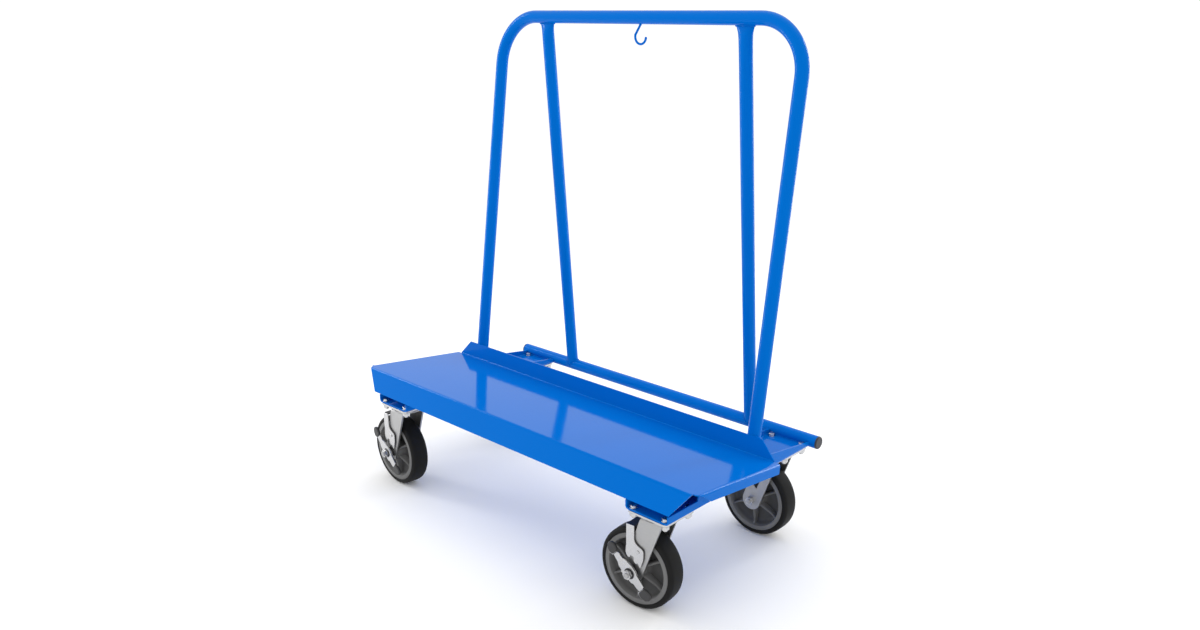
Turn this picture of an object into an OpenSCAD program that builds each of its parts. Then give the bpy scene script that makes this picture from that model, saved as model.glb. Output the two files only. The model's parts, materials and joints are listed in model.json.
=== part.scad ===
// Drywall cart: a sloped sheet-steel deck and a leaning tubular frame on four swivel casters.
// X runs along the cart, +Y from the loading side to the back, +Z up.
// The origin is the middle of the cart's footprint, on the floor.

/* [Deck] */
// Length of the deck, end to end
deck_l = 1190; // [900:5:1500]
// Depth of the deck from its front edge to its back bend, measured level
deck_d = 316.6; // [260:0.1:420]
// Height of the deck's front edge
deck_front_z = 347; // [335:1:360]
// Slope of the deck down towards the back, degrees
deck_slope = 6.5; // [4:0.1:9]
// Thickness of the deck's sheet
sheet_t = 3; // [2:0.5:4]
// Height of the front flange, measured along it
front_flange_h = 61.8; // [50:0.1:65]
// Lean of the front flange from upright, degrees
front_flange_lean = 21; // [0:1:30]
// Height of the back flange, measured along it
back_flange_h = 44.5; // [30:0.1:60]
// Height of the lips that hang from the deck's ends
lip_h = 25; // [15:1:30]
// How far the front flange's ends are cut in at its bottom edge
front_cut = 55.6; // [30:0.1:65]
// How far the front flange's ends are cut in at its top edge
nose_cut = 14; // [6:0.5:24]
// How far back the cuts of the deck's front corners reach
nose_d = 16; // [8:0.5:24]
// How far the back flange's ends are cut in at its top edge
back_cut = 41; // [20:1:55]
// How far the deck's back corners are cut in
corner_cut = 18; // [5:1:30]

/* [Frame] */
// Outside diameter of the frame tubes
tube_d = 33.4; // [28:0.1:34]
// Wall of the frame tubes
tube_wall = 2; // [1.5:0.5:3]
// Distance between the hoop's two legs, centre to centre
hoop_w = 1002; // [800:2:1010]
// Height of the hoop's top tube, at its centre
hoop_z = 1293; // [1000:1:1500]
// Bend radius of the hoop's corners, at the tube's centre
hoop_r = 126; // [80:1:160]
// Lean of the hoop and the back flange towards the back, degrees
hoop_lean = 8; // [4:0.1:12]
// Distance between the rear legs at their feet
rear_leg_foot = 674; // [500:2:760]
// Distance between the rear legs at their heads
rear_leg_head = 660; // [500:2:760]
// Length of the rear tube without its end caps
rear_tube_l = 1094; // [1075:1:1160]

/* [Cross channels] */
// Width of each channel
chan_w = 125; // [120:1:135]
// Thickness of the channels' plate
chan_t = 4; // [3:0.5:5]
// Height of the channels' side walls over the caster plates
chan_wall = 22; // [15:1:28]

/* [Casters] */
// Height from the floor to the top of the caster plates
caster_h = 258; // [250:1:270]
// Wheel diameter
wheel_d = 203.2; // [180:0.1:206]
// Wheel width over the tread
wheel_w = 50.8; // [44:0.1:52]
// How far each wheel trails behind its swivel axis
trail = 49.5; // [40:0.5:55]
// Distance of the swivel axes from the middle of the cart, along X
caster_x = 469.5; // [400:0.5:520]
// Size of the caster plates along X
plate_x = 114.3; // [110:0.1:120]
// Size of the caster plates along Y
plate_y = 101.6; // [98:0.1:110]
// Bolt spacing along X
bolt_x = 92; // [88:1:94]
// Bolt spacing along Y
bolt_y = 78; // [76:1:82]
// Turn of the front right caster as it stands, degrees
yaw_front_right = 5.5; // [-30:0.5:30]
// Turn of the front left caster as it stands, degrees
yaw_front_left = -3; // [-30:0.5:30]

/* [Brake] */
// How far the brake arm and its shoe travel down onto the tyre
brake_travel = 3; // [2:0.5:3.5]
// Angle of the pedal's lower end below level as it stands, degrees
pedal_angle = 43.5; // [35:0.5:50]

/* [Hidden] */
CORNERS = ["front_right", "front_left", "rear_right", "rear_left"];
BRAKED = ["front_right", "front_left"];
CASTER_PIECES = ["yoke", "axle_bolt", "axle_nut", "axle_sleeve", "wheel_core", "wheel_bearing", "tyre"];
BRAKE_PIECES = ["brake_arm", "brake_shoe", "guide_rivet", "pedal", "pedal_pads"];
$fn = 48;

eps = 0.05;          // play between pieces that are welded or pressed together
run = 0.05;          // radial running clearance of pins and bores
tube_r = tube_d / 2;
half_l = deck_l / 2;
wheel_r = wheel_d / 2;
reach = trail + wheel_r;                 // swivel axis to the far side of the wheel
mid_x = (caster_x + reach - half_l) / 2; // the cart's middle: a trailing wheel passes its left end

// Cross-section of the cart, as points of [y, z]
half_y = 300;                                  // the footprint's half depth
rear_y = half_y - tube_r;                      // centre of the rear tube
tube_hang = 4.4;                               // how far the rear tube hangs below the caster plates
rear_z = caster_h - tube_hang + tube_r;
flange_foot = [-half_y, deck_front_z - front_flange_h * cos(front_flange_lean)];
deck_front = [-half_y + front_flange_h * sin(front_flange_lean), deck_front_z];
deck_back = deck_front + deck_d * [1, -tan(deck_slope)];
flange_top = deck_back + back_flange_h * [sin(hoop_lean), cos(hoop_lean)];
front_bend = 6;                                // outside radius of the front and end bends
back_bend = 3;                                 // inside radius of the bend at the back flange
lip_in = 20;                                   // width of the deck's stretch that the lip's sheet makes

// Hoop: its plane leans with the back flange, one sheet and half a tube behind it
lean_out = [cos(hoop_lean), -sin(hoop_lean)];  // from the flange's face towards the back
hoop_foot = flange_top + (sheet_t + tube_r + 0.1) * lean_out;
hoop_base_z = caster_h + chan_t + 0.1;
hoop_y = hoop_foot[0] + (hoop_z - hoop_foot[1]) * tan(hoop_lean);

chan_front = -290;                             // the channels' front ends
wall_step = -178;                              // where their side walls rise to the deck
bend_chan = 8;                                 // outside radius of the channels' bends
caster_front_y = chan_front + plate_y / 2 - 2;
caster_rear_y = 219.5;
plate_t = 5;
plate_z = caster_h - plate_t;                  // underside of the caster plates
bolt_r = 5;
bolt_hole_r = 5.4;

// Each caster's [name, x, y, turn, whether it has a brake]
CASTERS = [
    [CORNERS[0], caster_x, caster_front_y, yaw_front_right, true],
    [CORNERS[1], -caster_x, caster_front_y, yaw_front_left, true],
    [CORNERS[2], caster_x, caster_rear_y, 0, false],
    [CORNERS[3], -caster_x, caster_rear_y, 2, false]];

// Swivel head, as heights above the floor
race_r = 32;                                   // radius of the ball race
ball_r = 3;
ball_count = 24;
race_z = caster_h - 10;                        // the balls' centres
crown_z = caster_h - 14.5;                     // top of the yoke's crown
yoke_t = 5;
yoke_half = 36;                                // half the yoke's outside width
yoke_end_r = 26;                               // rounded ends of the yoke's legs
yoke_top_half = 29.4;                          // half the legs' width under the crown
pin_r = 8;

axle_r = 6.3;
sleeve_r = 9.5;
hub_half = 28.5;
rim_r = 88;                                    // where the tyre meets the wheel's core
rim_in_r = 77;
web_half = 4;
hub_r = 21;
bearing_r = 14.5;
rib_count = 6;

arm_y = -yoke_half - 2.5;                      // inner face of the brake arm
arm_t = 3;
rivet = [-32.4, 158];                          // guide rivet, as [x, z] from the swivel axis
pedal_y = -42.6;                               // inner face of the pedal
axle = [-trail, wheel_r];                      // axle, as [x, z] from the swivel axis

blue = [0.0, 0.32, 0.80];
zinc = [0.72, 0.73, 0.74];
bright = [0.86, 0.87, 0.88];
iron = [0.33, 0.34, 0.35];
rubber = [0.10, 0.10, 0.10];
plastic = [0.16, 0.16, 0.17];

// ---- functions ----
function unit(v) = v / norm(v);
function left(v) = [-v[1], v[0]];
function turned(v, a) = [v[0] * cos(a) - v[1] * sin(a), v[0] * sin(a) + v[1] * cos(a)];
function backwards(v) = [for (i = [len(v) - 1:-1:0]) v[i]];

// Arc that rounds corner b of the path a, b, c, moved off to the path's right
function corner_arc(a, b, c, r, off, n = 6) =
    let (u = unit(b - a), v = unit(c - b), s = sign(u[0] * v[1] - u[1] * v[0]), whole = acos(u * v),
         centre = b - u * r * tan(whole / 2) + left(u) * s * r)
    [for (i = [0:n]) centre + turned(-left(u) * s * (r + s * off), s * whole * i / n)];

// A path with rounded corners, moved off to its right
function bent_path(p, r, off) =
    let (last = len(p) - 1)
    concat([p[0] - left(unit(p[1] - p[0])) * off],
           [for (i = [1:last - 1]) each corner_arc(p[i - 1], p[i], p[i + 1], r[i - 1], off)],
           [p[last] - left(unit(p[last] - p[last - 1])) * off]);

// Section of a bent sheet of thickness t that lies to the right of the path p
module bent_sheet(p, r, t) {
    polygon(concat(bent_path(p, r, 0), backwards(bent_path(p, r, t))));
}

function deck_z(y) = deck_front[1] - (y - deck_front[0]) * tan(deck_slope);

// ---- placing ----
// Moves from the cart's own middle to the origin
module on_cart() { translate([mid_x, 0, 0]) children(); }

// Stands at a caster's swivel axis, on the floor, turned as the caster stands
module at_caster(c) { on_cart() translate([c[1], c[2], 0]) rotate([0, 0, c[3]]) children(); }

// Stands at each swivel axis in turn, square to the cart
module at_plates() { on_cart() for (c = CASTERS) translate([c[1], c[2], 0]) children(); }

// The four bolt places of a caster plate
module bolt_places() { for (x = [-1, 1], y = [-1, 1]) translate([x * bolt_x / 2, y * bolt_y / 2, 0]) children(); }

// Draws its children, drawn in the XY plane as [y, z], along X from x0 for a length of l
module along_x(l, x0) { translate([x0, 0, 0]) rotate([90, 0, 90]) linear_extrude(height = l) children(); }

// Draws its children, drawn in the XY plane as [x, z], from the plane y0 back for a depth of l
module along_y(l, y0) { translate([0, y0 + l, 0]) rotate([90, 0, 0]) linear_extrude(height = l) children(); }

// A round bar from a to b
module bar(a, b, r) {
    d = b - a;
    translate(a) rotate([0, acos(d[2] / norm(d)), atan2(d[1], d[0])]) cylinder(h = norm(d), r = r);
}

module hex(across, h) { cylinder(h = h, r = across / sqrt(3), $fn = 6); }

// A round pin along Y, centred on y = 0 unless it starts at y0
module pin_y(r, l, y0) { translate([0, y0, 0]) rotate([-90, 0, 0]) cylinder(h = l, r = r); }

// ---- deck ----
// Lip that hangs from one end of the deck, in line with the slope
module end_lip(side) {
    from_y = deck_front[0] + nose_d;
    top_z = deck_z(from_y);
    len_y = (deck_d - nose_d) / cos(deck_slope);
    difference() {
        translate([side * half_l, from_y, top_z]) rotate([-deck_slope, 0, 0])
            mirror([side < 0 ? 1 : 0, 0, 0]) along_y(len_y, 0)
                bent_sheet([[-lip_in, 0], [0, 0], [0, -lip_h]], [front_bend], sheet_t);
        // the front end is cut back on a slant
        along_x(4 * half_l, -2 * half_l)
            polygon([[from_y - 10, top_z - 4], [from_y + 3, top_z - 4], [from_y + 38, top_z - 28],
                     [from_y + 48, top_z - 60], [from_y - 10, top_z - 60]]);
    }
}

module deck_tray() {
    color(blue) on_cart() {
        difference() {
            along_x(deck_l - 0.2, -half_l + 0.1)
                bent_sheet([flange_foot, deck_front, deck_back, flange_top], [front_bend, back_bend], sheet_t);
            for (s = [-1, 1]) {
                // slanted ends of the front flange
                along_y(40, -half_y - 10)
                    polygon([for (p = [[half_l + 5, deck_front_z + 8], [half_l - nose_cut + 4, deck_front_z + 8],
                        [half_l - nose_cut, deck_front_z - 4], [half_l - front_cut, flange_foot[1]],
                        [half_l - front_cut - 2, flange_foot[1] - 10],
                        [half_l + 5, flange_foot[1] - 10]]) [s * p[0], p[1]]]);
                // the deck's front corners
                translate([0, 0, deck_front_z - 20]) linear_extrude(height = 40)
                    polygon([for (p = [[half_l - nose_cut, deck_front[0] - 10], [half_l - nose_cut, deck_front[0] - 1],
                        [half_l + 1, deck_front[0] + nose_d + 1], [half_l + 20, deck_front[0] - 10]])
                        [s * p[0], p[1]]]);
                // slanted ends of the back flange
                along_y(40, deck_back[0] - 0.5)
                    polygon([for (p = [[half_l + 5, deck_back[1] - 20], [half_l - corner_cut, deck_back[1] - 20],
                        [half_l - corner_cut, deck_back[1] + 1], [half_l - corner_cut - back_cut, flange_top[1]],
                        [half_l - corner_cut - back_cut, flange_top[1] + 10], [half_l + 5, flange_top[1] + 10]])
                        [s * p[0], p[1]]]);
                // the lip's own sheet takes the place of the deck's last stretch
                translate([s > 0 ? half_l - lip_in : -half_l - 10, deck_front[0] + nose_d, deck_back[1] - 30])
                    cube([lip_in + 10, deck_d - nose_d + 1, 90]);
            }
        }
        for (s = [-1, 1]) end_lip(s);
    }
}

// ---- cross channels ----
// A channel under one end of the cart, open side up, its ends fitted to the flange and the rear tube
module channel(side) {
    color(blue) on_cart() difference() {
        translate([side * caster_x, 0, 0])
            along_y(rear_y - chan_front, chan_front)
                bent_sheet([[-chan_w / 2, deck_front_z], [-chan_w / 2, caster_h], [chan_w / 2, caster_h],
                            [chan_w / 2, deck_front_z]], [bend_chan, bend_chan], -chan_t);
        // the side walls' top edge
        along_x(4 * half_l, -2 * half_l)
            polygon([[chan_front - 5, caster_h + chan_wall], [wall_step - 10, caster_h + chan_wall],
                     [wall_step, deck_z(wall_step) - sheet_t - 0.2],
                     [deck_back[0] + 1, deck_z(deck_back[0]) - sheet_t - 3], [rear_y + 5, caster_h + 12],
                     [rear_y + 5, deck_front_z + 20], [chan_front - 5, deck_front_z + 20]]);
        translate([-2 * half_l, rear_y, rear_z]) rotate([0, 90, 0]) cylinder(h = 4 * half_l, r = tube_r + eps);
        for (c = CASTERS) translate([c[1], c[2], 0]) bolt_places()
            translate([0, 0, caster_h - 1]) cylinder(h = chan_t + 2, r = bolt_hole_r);
    }
}

// ---- frame ----
// The hoop's shape at a tube radius, lying in its own plane: X across, Y up along the lean
module hoop_shape(r, foot, top, over) {
    half = hoop_w / 2;
    for (s = [-1, 1]) {
        translate([s * half, foot - over, 0]) rotate([-90, 0, 0]) cylinder(h = top - hoop_r - foot + over, r = r);
        translate([s * (half - hoop_r), top - hoop_r, 0]) rotate([0, 0, s > 0 ? 0 : 90])
            rotate_extrude(angle = 90) translate([hoop_r, 0]) circle(r = r);
    }
    translate([-half + hoop_r, top, 0]) rotate([0, 90, 0]) cylinder(h = 2 * (half - hoop_r), r = r);
}

module front_hoop() {
    top = (hoop_z - hoop_base_z) / cos(hoop_lean);
    foot_y = hoop_y - (hoop_z - hoop_base_z) * tan(hoop_lean);
    color(blue) on_cart() difference() {
        translate([0, foot_y, hoop_base_z]) rotate([90 - hoop_lean, 0, 0]) difference() {
            hoop_shape(tube_r, -20, top, 0);
            hoop_shape(tube_r - tube_wall, -20, top, 1);
        }
        // the feet stand flat on the channels
        translate([-half_l, -half_y, hoop_base_z - 60]) cube([deck_l, 2 * half_y, 60]);
    }
}

module rear_leg(side) {
    foot = [side * rear_leg_foot / 2, rear_y, rear_z];
    head = [side * rear_leg_head / 2, hoop_y, hoop_z];
    color(blue) on_cart() difference() {
        bar(foot, head, tube_r);
        bar(foot, head, tube_r - tube_wall);
        translate([-half_l, rear_y, rear_z]) rotate([0, 90, 0]) cylinder(h = deck_l, r = tube_r + eps);
        translate([-half_l, hoop_y, hoop_z]) rotate([0, 90, 0]) cylinder(h = deck_l, r = tube_r + eps);
    }
}

module rear_tube() {
    color(blue) on_cart() translate([-rear_tube_l / 2, rear_y, rear_z]) rotate([0, 90, 0]) difference() {
        cylinder(h = rear_tube_l, r = tube_r);
        translate([0, 0, -1]) cylinder(h = rear_tube_l + 2, r = tube_r - tube_wall);
    }
}

// Plugs in the rear tube's two ends, each a domed cap on a short stem
module tube_caps() {
    cap_t = 5;
    stem_l = 18;
    color(plastic) on_cart() for (s = [-1, 1])
        translate([s * rear_tube_l / 2, rear_y, rear_z]) rotate([0, s * 90, 0]) {
            rotate_extrude() polygon([[0, 0], [tube_r, 0], [tube_r, cap_t - 2], [tube_r - 2, cap_t], [0, cap_t]]);
            translate([0, 0, -stem_l]) cylinder(h = stem_l, r = tube_r - tube_wall - eps);
        }
}

// Wire hook under the middle of the top tube: a slanted shank and a round bend, with a ball at its ends
module tool_hook() {
    wire_r = 3;
    bend_r = 18;
    middle = [10, hoop_y, hoop_z - 46];       // centre of the bend
    start = 165;
    sweep = 185;
    on_bend = [for (a = [start, start + sweep]) middle + bend_r * [cos(a), 0, sin(a)]];
    color(blue) on_cart() difference() {
        union() {
            translate(middle) rotate([90, 0, 0]) rotate([0, 0, start])
                rotate_extrude(angle = sweep) translate([bend_r, 0]) circle(r = wire_r);
            for (p = on_bend) translate(p) sphere(r = wire_r + 0.2);
            bar(on_bend[0], [middle[0] + 4, hoop_y, hoop_z - tube_r + 6], wire_r);
        }
        translate([-50, hoop_y, hoop_z]) rotate([0, 90, 0]) cylinder(h = 100, r = tube_r + eps);
    }
}

// ---- fasteners of the caster plates ----
module caster_bolts() {
    color(zinc) at_plates() bolt_places() {
        translate([0, 0, caster_h + chan_t]) {
            cylinder(h = 1.5, r = 9);
            hex(15, 7);
        }
        translate([0, 0, plate_z - 15]) cylinder(h = plate_t + chan_t + 15.5, r = bolt_r);
    }
}

module caster_washers() {
    color(zinc) at_plates() bolt_places() translate([0, 0, plate_z - 2]) difference() {
        cylinder(h = 2, r = 10);
        translate([0, 0, -1]) cylinder(h = 4, r = bolt_hole_r);
    }
}

module caster_nuts() {
    color(bright) at_plates() bolt_places() translate([0, 0, plate_z - 10.5]) difference() {
        hex(16, 8.5);
        translate([0, 0, -1]) cylinder(h = 11, r = bolt_r + eps);
    }
}

// ---- swivel heads ----
// Flat ring with a groove for the balls; up sets the side the groove is on
module race_ring(r_out, h, up) {
    difference() {
        cylinder(h = h, r = r_out);
        translate([0, 0, -1]) cylinder(h = h + 2, r = 24);
        translate([0, 0, up ? h + 0.5 : -0.5]) rotate_extrude() translate([race_r, 0]) circle(r = ball_r + 0.15);
    }
}

module caster_plates() {
    corner_r = 10;
    color(bright) at_plates() {
        translate([0, 0, plate_z]) difference() {
            linear_extrude(height = plate_t) {
                square([plate_x, plate_y - 2 * corner_r], center = true);
                square([plate_x - 2 * corner_r, plate_y], center = true);
                for (x = [-1, 1], y = [-1, 1])
                    translate([x * (plate_x / 2 - corner_r), y * (plate_y / 2 - corner_r)]) circle(r = corner_r);
            }
            bolt_places() translate([0, 0, -1]) cylinder(h = plate_t + 2, r = bolt_hole_r);
            translate([0, 0, -1]) cylinder(h = plate_t + 2, r = pin_r + eps);
            translate([0, 0, 1.5]) cylinder(h = plate_t, r = 14);
        }
        translate([0, 0, race_z + 0.5]) race_ring(40, plate_z - race_z - 0.5, false);
    }
}

// Headed pin that holds each yoke up to its plate and lets it turn
module kingpins() {
    color(zinc) at_plates() {
        translate([0, 0, plate_z + 1.5]) cylinder(h = 3.3, r = 13.9);
        translate([0, 0, crown_z - yoke_t - 8]) cylinder(h = plate_z - crown_z + yoke_t + 9.6, r = pin_r);
        translate([0, 0, crown_z - yoke_t - 8.3]) cylinder(h = 8, r = 15);
    }
}

module swivel_balls() {
    color(bright) at_plates() for (i = [0:ball_count - 1])
        rotate([0, 0, i * 360 / ball_count]) translate([race_r, 0, race_z]) sphere(r = ball_r);
}

// ---- caster pieces, each in the frame of its swivel axis, with the wheel trailing to -X ----
// Stamped fork: a bent strip cut to the legs' outline, with a round crown for the ball race
module yoke(c) {
    leg_hole = [[-34.6, 139], [-25, 163], [-50, 152]];
    color(zinc) at_caster(c) difference() {
        union() {
            intersection() {
                along_x(200, -100)
                    bent_sheet([[-yoke_half, 50], [-yoke_half, crown_z], [yoke_half, crown_z], [yoke_half, 50]],
                               [10, 10], yoke_t);
                along_y(4 * yoke_half, -2 * yoke_half) hull() {
                    translate(axle) circle(r = yoke_end_r);
                    translate([-yoke_top_half, crown_z]) square([2 * yoke_top_half, 1]);
                }
            }
            translate([0, 0, crown_z - 3.5]) cylinder(h = 3.5, r = 41);
            translate([0, 0, crown_z]) race_ring(38, race_z - crown_z - 0.5, true);
        }
        translate([0, 0, crown_z - 20]) cylinder(h = 30, r = pin_r + run);
        translate([axle[0], 0, axle[1]]) pin_y(axle_r + 0.1, 4 * yoke_half, -2 * yoke_half);
        along_y(c[4] ? 2 * yoke_half : 4 * yoke_half, c[4] ? 0 : -2 * yoke_half) polygon(leg_hole);
        if (c[4]) translate([rivet[0], 0, rivet[1]]) pin_y(3.1, 2 * yoke_half, -2 * yoke_half);
    }
}

// The axle's nut sits outside the leg, or outside the pedal on a braked caster
function nut_y(c) = c[4] ? pedal_y - 7.9 : -yoke_half - 0.2;

module axle_bolt(c) {
    color(zinc) at_caster(c) translate([axle[0], 0, axle[1]]) {
        pin_y(axle_r, yoke_half + 14 - nut_y(c), nut_y(c) - 13.5);
        translate([0, yoke_half + 0.2, 0]) rotate([-90, 0, 0]) hex(19, 8);
    }
}

module axle_nut(c) {
    color(bright) at_caster(c) translate([axle[0], nut_y(c), axle[1]]) rotate([90, 0, 0]) difference() {
        hex(19, 10.5);
        translate([0, 0, -1]) cylinder(h = 13, r = axle_r + eps);
    }
}

// Spacer tube that the bolt clamps between the legs and the wheel runs on
module axle_sleeve(c) {
    color(zinc) at_caster(c) translate([axle[0], 0, axle[1]]) difference() {
        pin_y(sleeve_r, 2 * (yoke_half - yoke_t) - 0.4, -yoke_half + yoke_t + 0.2);
        pin_y(axle_r + eps, 2 * yoke_half, -yoke_half);
    }
}

module wheel_bearing(c) {
    rollers = 10;
    roller_r = 1.7;
    color(bright) at_caster(c) translate([axle[0], 0, axle[1]]) {
        difference() {
            pin_y(bearing_r - 0.02, 54, -27);
            pin_y(sleeve_r + run + 2 * roller_r + 0.1, 60, -30);
        }
        for (i = [0:rollers - 1]) rotate([0, i * 360 / rollers, 0])
            translate([sleeve_r + run + roller_r, 0, 0]) pin_y(roller_r, 50, -25);
    }
}

// Cast wheel: rim, thin web, hub and ribs on both sides of the web
module wheel_core(c) {
    rim_half = wheel_w / 2 - 1;
    rib_t = 5;
    color(iron) at_caster(c) translate([axle[0], 0, axle[1]]) rotate([-90, 0, 0]) difference() {
        union() {
            rotate_extrude() polygon([
                [bearing_r - 2, -hub_half], [hub_r, -hub_half], [hub_r + 8, -web_half], [rim_in_r - 3, -web_half],
                [rim_in_r, -rim_half], [rim_r, -rim_half], [rim_r, rim_half], [rim_in_r, rim_half],
                [rim_in_r - 3, web_half], [hub_r + 8, web_half], [hub_r, hub_half], [bearing_r - 2, hub_half]]);
            for (i = [0:rib_count - 1]) rotate([0, 0, -30 - i * 360 / rib_count]) translate([0, rib_t / 2, 0])
                rotate([90, 0, 0]) linear_extrude(height = rib_t)
                    polygon([[hub_r - 3, -25], [rim_in_r + 1, -16], [rim_in_r + 1, 16], [hub_r - 3, 25]]);
        }
        translate([0, 0, -50]) cylinder(h = 100, r = bearing_r);
    }
}

// Solid rubber tyre with rounded shoulders and a slightly crowned tread
module tyre(c) {
    shoulder_r = 8;
    half = wheel_w / 2;
    color(rubber) at_caster(c) translate([axle[0], 0, axle[1]]) rotate([-90, 0, 0]) rotate_extrude()
        difference() {
            union() {
                translate([rim_r, -half]) square([wheel_r - rim_r - shoulder_r, wheel_w]);
                translate([rim_r, -half + shoulder_r]) square([wheel_r - rim_r, wheel_w - 2 * shoulder_r]);
                for (s = [-1, 1]) translate([wheel_r - shoulder_r, s * (half - shoulder_r)]) circle(r = shoulder_r);
            }
            translate([0, -half - 1]) square([rim_r + eps, wheel_w + 2]);
        }
}

// ---- side brake, on the front casters ----
// Strap that hangs outside the leg: its top is bent in over the tyre and its foot slides on the rivet
module brake_arm(c) {
    tab_z = wheel_d + 15;
    slot = [rivet, rivet + [0, brake_travel]];
    color(bright) at_caster(c) {
        difference() {
            along_y(arm_t, arm_y - arm_t) polygon([
                [-65, tab_z + arm_t], [-43.5, tab_z + arm_t], [-43.5, 186], [-36, 175], [-24, 170], [-17.5, 163],
                [-17.5, 142], [-25, 119], [-33, 136], [-40, 129], [-47, 136], [-56, 138], [-62, 141],
                [-66.5, 148], [-66.5, 160], [-65, 172]]);
            for (p = slot) translate([p[0], 0, p[1]]) pin_y(3 + run, 2 * yoke_half, -2 * yoke_half);
            translate([rivet[0] - 3 - run, -2 * yoke_half, rivet[1]])
                cube([6 + 2 * run, 2 * yoke_half, brake_travel]);
        }
        translate([-65, arm_y - arm_t, tab_z]) cube([21.5, 24 - arm_y + arm_t, arm_t]);
    }
}

module brake_shoe(c) {
    bottom = wheel_d + brake_travel + 0.6;
    tab_z = wheel_d + 15;
    color(iron) at_caster(c) translate([-66, -20, bottom]) cube([23, 40, tab_z - bottom - eps]);
}

// Shouldered rivet in the leg that guides the brake arm
module guide_rivet(c) {
    color(bright) at_caster(c) translate([rivet[0], 0, rivet[1]]) {
        pin_y(3, 6 + arm_t - arm_y - yoke_half, arm_y - arm_t - 0.3);
        pin_y(6, 1.8, arm_y - arm_t - 2.1);
    }
}

// Draws its children on the rocker: X along it from the axle, Y across it, and up away from the wheel
module on_pedal(c, up) {
    at_caster(c) translate([axle[0], -up, axle[1]]) rotate([0, pedal_angle, 0]) rotate([90, 0, 0]) children();
}

PEDAL = [[-56, -7], [-56, 9], [-30, 12], [-10, 17], [8, 17], [30, 12], [46, 9], [46, -7], [20, -13], [-20, -16],
         [-37, -12]];

// Stamped rocker that turns on the axle outside the brake arm, with a tongue for a pad at each end
module pedal(c) {
    depth = 7.6;
    color(bright) on_pedal(c, -pedal_y) difference() {
        union() {
            linear_extrude(height = depth) polygon(PEDAL);
            translate([-70, -6, depth - 3]) cube([130, 13, 3]);
            translate([0, 0, -6.2]) cylinder(h = depth + 6.2, r = 12);
        }
        difference() {
            translate([-52.5, 0, -1]) linear_extrude(height = depth - 1.5)
                polygon([for (p = PEDAL) [(p[0] + 52.5 + (p[0] > 0 ? -1 : 0)) * 0.955, p[1] * 0.8]]);
            translate([0, 0, -7]) cylinder(h = depth + 7, r = 12);
        }
        translate([0, 0, -10]) cylinder(h = 40, r = axle_r + run);
    }
}

module pedal_pads(c) {
    pad_t = 11;
    r = 7;
    color(plastic) on_pedal(c, -pedal_y - 1) for (x = [-86, 46.3]) difference() {
        translate([x, -14, 0]) linear_extrude(height = pad_t) {
            translate([r, 0]) square([30 - 2 * r, 30]);
            translate([0, r]) square([30, 30 - 2 * r]);
            for (i = [r, 30 - r], j = [r, 30 - r]) translate([i, j]) circle(r = r);
        }
        translate([-70 - eps, -6 - eps, 5.6 - eps]) cube([130 + 2 * eps, 13 + 2 * eps, 3 + 2 * eps]);
    }
}

deck_tray();
channel(1);  // channel_right
channel(-1);  // channel_left
front_hoop();
rear_leg(1);  // rear_leg_right
rear_leg(-1);  // rear_leg_left
rear_tube();
tube_caps();
tool_hook();
caster_bolts();
caster_washers();
caster_nuts();
caster_plates();
kingpins();
swivel_balls();
for (c = CASTERS) {
    yoke(c);
    axle_bolt(c);
    axle_nut(c);
    axle_sleeve(c);
    wheel_core(c);
    wheel_bearing(c);
    tyre(c);
}
for (c = CASTERS) if (c[4]) {
    brake_arm(c);
    brake_shoe(c);
    guide_rivet(c);
    pedal(c);
    pedal_pads(c);
}
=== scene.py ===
import json
import math

import bmesh
import bpy
from mathutils import Matrix, Vector


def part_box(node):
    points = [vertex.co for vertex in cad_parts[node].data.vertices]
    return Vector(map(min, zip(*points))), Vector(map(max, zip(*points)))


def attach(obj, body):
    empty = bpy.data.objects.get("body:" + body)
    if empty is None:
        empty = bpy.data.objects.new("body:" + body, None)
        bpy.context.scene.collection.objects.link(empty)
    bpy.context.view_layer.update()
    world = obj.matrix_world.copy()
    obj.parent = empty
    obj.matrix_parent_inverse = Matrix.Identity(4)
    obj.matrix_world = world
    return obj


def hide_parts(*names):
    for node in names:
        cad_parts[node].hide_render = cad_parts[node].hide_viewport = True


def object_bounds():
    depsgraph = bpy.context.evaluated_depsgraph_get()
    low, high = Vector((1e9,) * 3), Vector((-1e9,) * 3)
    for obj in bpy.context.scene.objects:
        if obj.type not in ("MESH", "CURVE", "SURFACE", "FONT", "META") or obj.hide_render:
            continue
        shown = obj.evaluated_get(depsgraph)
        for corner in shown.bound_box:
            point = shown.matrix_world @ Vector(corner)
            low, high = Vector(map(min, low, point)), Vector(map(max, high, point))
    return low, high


bl_info = {
    "name": "Drywall cart",
    "version": (1, 0, 0),
    "blender": (4, 5, 0),
    "location": "3D View > Sidebar > Cart",
    "description": "Dresses a panel cart's frame, deck, casters and brakes and sets up a studio around it",
    "category": "Object",
}

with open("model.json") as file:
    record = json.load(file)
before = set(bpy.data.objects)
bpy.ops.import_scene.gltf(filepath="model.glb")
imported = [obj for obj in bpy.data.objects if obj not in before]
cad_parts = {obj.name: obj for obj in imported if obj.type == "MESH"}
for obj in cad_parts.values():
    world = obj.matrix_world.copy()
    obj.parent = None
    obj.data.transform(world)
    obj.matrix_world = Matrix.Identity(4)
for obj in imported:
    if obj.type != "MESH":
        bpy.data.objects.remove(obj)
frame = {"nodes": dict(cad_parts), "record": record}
CAD_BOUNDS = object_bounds()
MM = 0.001
CORNERS = ("front_right", "front_left", "rear_right", "rear_left")
BRAKED = ("front_right", "front_left")
JOINTS = {joint["name"]: joint for joint in frame["record"]["behaviour"]["joints"]}


# ---- sizes read from the frame ----
def middle(node):
    """The middle of a CAD node's box."""
    low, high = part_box(node)
    return (Vector(low) + Vector(high)) / 2


def span(node):
    """The size of a CAD node's box."""
    low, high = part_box(node)
    return Vector(high) - Vector(low)


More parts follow.
